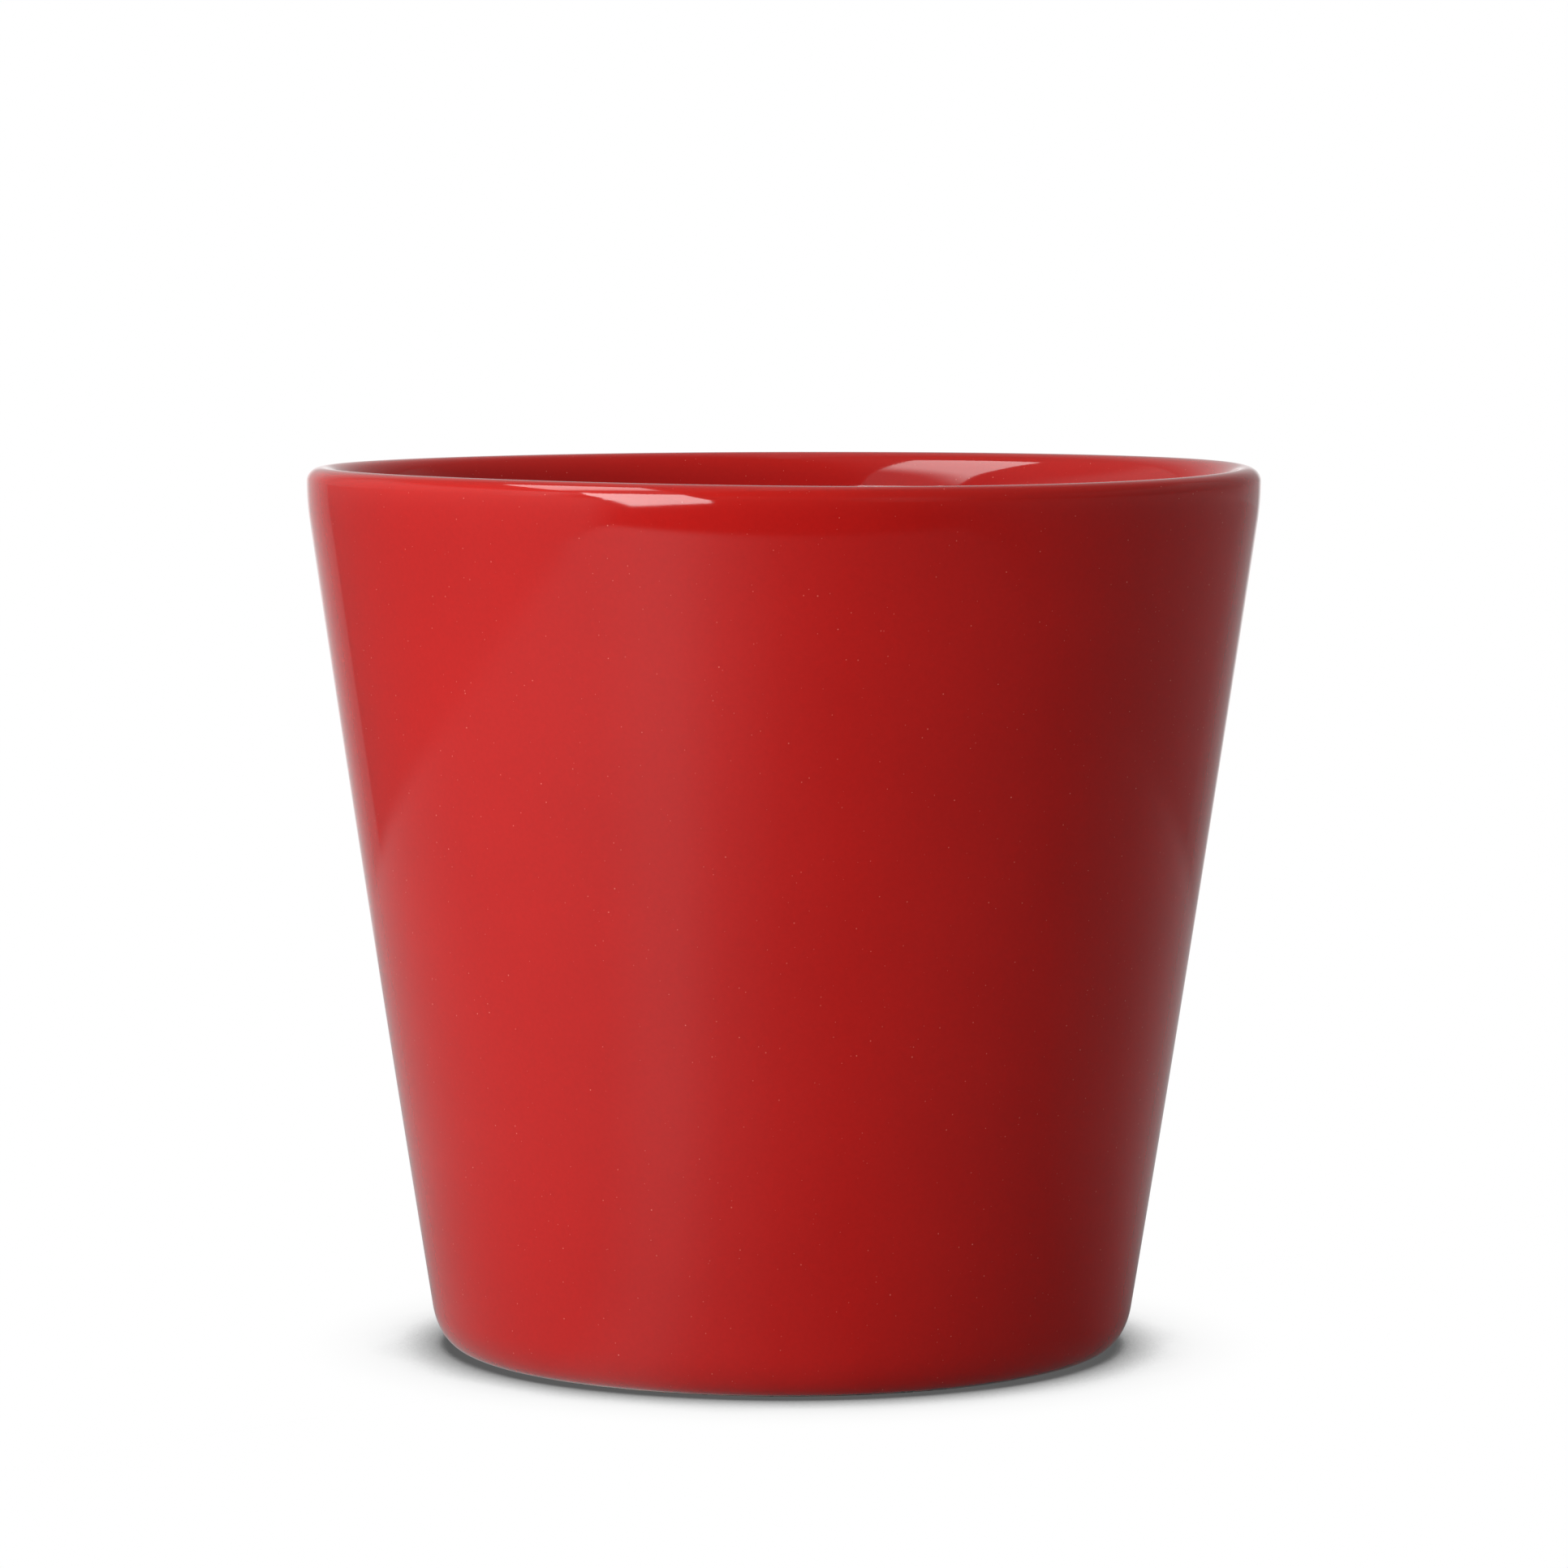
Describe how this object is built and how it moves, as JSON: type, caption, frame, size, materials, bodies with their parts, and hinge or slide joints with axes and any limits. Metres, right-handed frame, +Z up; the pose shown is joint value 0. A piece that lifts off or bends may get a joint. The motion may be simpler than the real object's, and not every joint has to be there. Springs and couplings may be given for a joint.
{
  "type": "handleless stoneware mug",
  "caption": "Tapered round drinking mug without a handle: glossy glazed stoneware with a rounded lip, a straight wall narrowing to a bare foot ring and a shallow glazed recess beneath.",
  "frame": {"origin": "middle of the flat face that the foot ring stands on", "axes": "+Z up along the mug's axis, towards the mouth; +X and +Y are any two square directions, because the mug is round"},
  "size_m": [0.097, 0.097, 0.09],
  "materials": {
    "bare_stoneware": "matte",
    "red_glaze": "gloss"
  },
  "bodies": {
    "root": {"clay_body": "bare_stoneware", "outer_glaze": "red_glaze", "liner_glaze": "red_glaze", "base_glaze": "red_glaze"}
  },
  "joints": []
}
